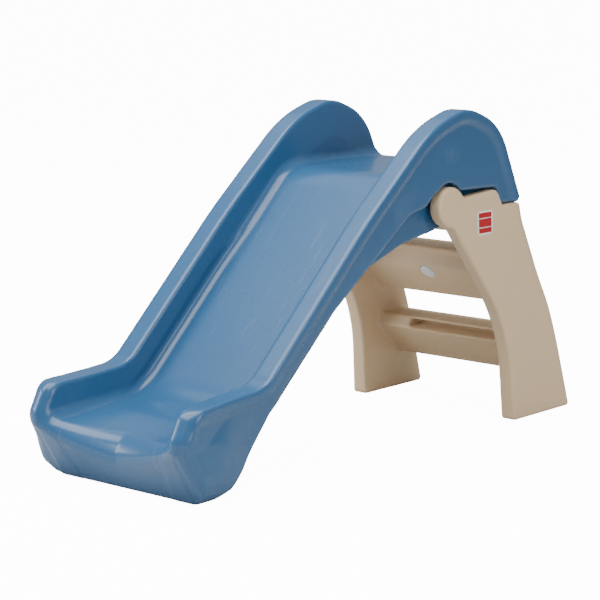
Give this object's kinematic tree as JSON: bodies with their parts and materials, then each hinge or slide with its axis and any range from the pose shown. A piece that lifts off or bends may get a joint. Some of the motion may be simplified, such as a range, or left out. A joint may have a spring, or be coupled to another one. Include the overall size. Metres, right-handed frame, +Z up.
{
  "type": "toddler slide",
  "caption": "Folding toddler slide: a curved one-piece chute with a railed platform, and a two-step ladder hinged under the platform so that it folds forward for storage.",
  "frame": {"origin": "on the floor, at the middle of the overall length and width", "axes": "+Z up; the chute runs down towards -X and the ladder stands at +X; +Y is the left rail seen from behind the ladder looking down the chute towards -X, mirrored about the XZ plane"},
  "size_m": [1.2618, 0.466, 0.6996],
  "materials": {
    "slide_blue": "glossy rotomoulded polyethylene, steel blue",
    "ladder_tan": "matte blow-moulded polyethylene, warm tan",
    "rod_steel": "zinc-plated steel",
    "nylon_white": "natural nylon",
    "plug_white": "white polyethylene plug",
    "decal_print": "blank printed vinyl label"
  },
  "bodies": {
    "slide": {"slide_body": "slide_blue", "bushing_left": "nylon_white", "bushing_right": "nylon_white", "slide_vent_plug": "plug_white"},
    "ladder": {"ladder": "ladder_tan", "hinge_rod": "rod_steel", "rod_socket_left": "nylon_white", "rod_socket_right": "nylon_white", "washer_left": "rod_steel", "washer_right": "rod_steel", "ladder_vent_plug": "plug_white", "decal_left": "decal_print", "decal_right": "decal_print"}
  },
  "joints": [
    {"name": "ladder_fold", "type": "hinge", "parent": "slide", "child": "ladder", "pos_m": [0.2, 0, 0.498], "axis": [0, 1, 0], "range_deg": [0, 84]}
  ]
}
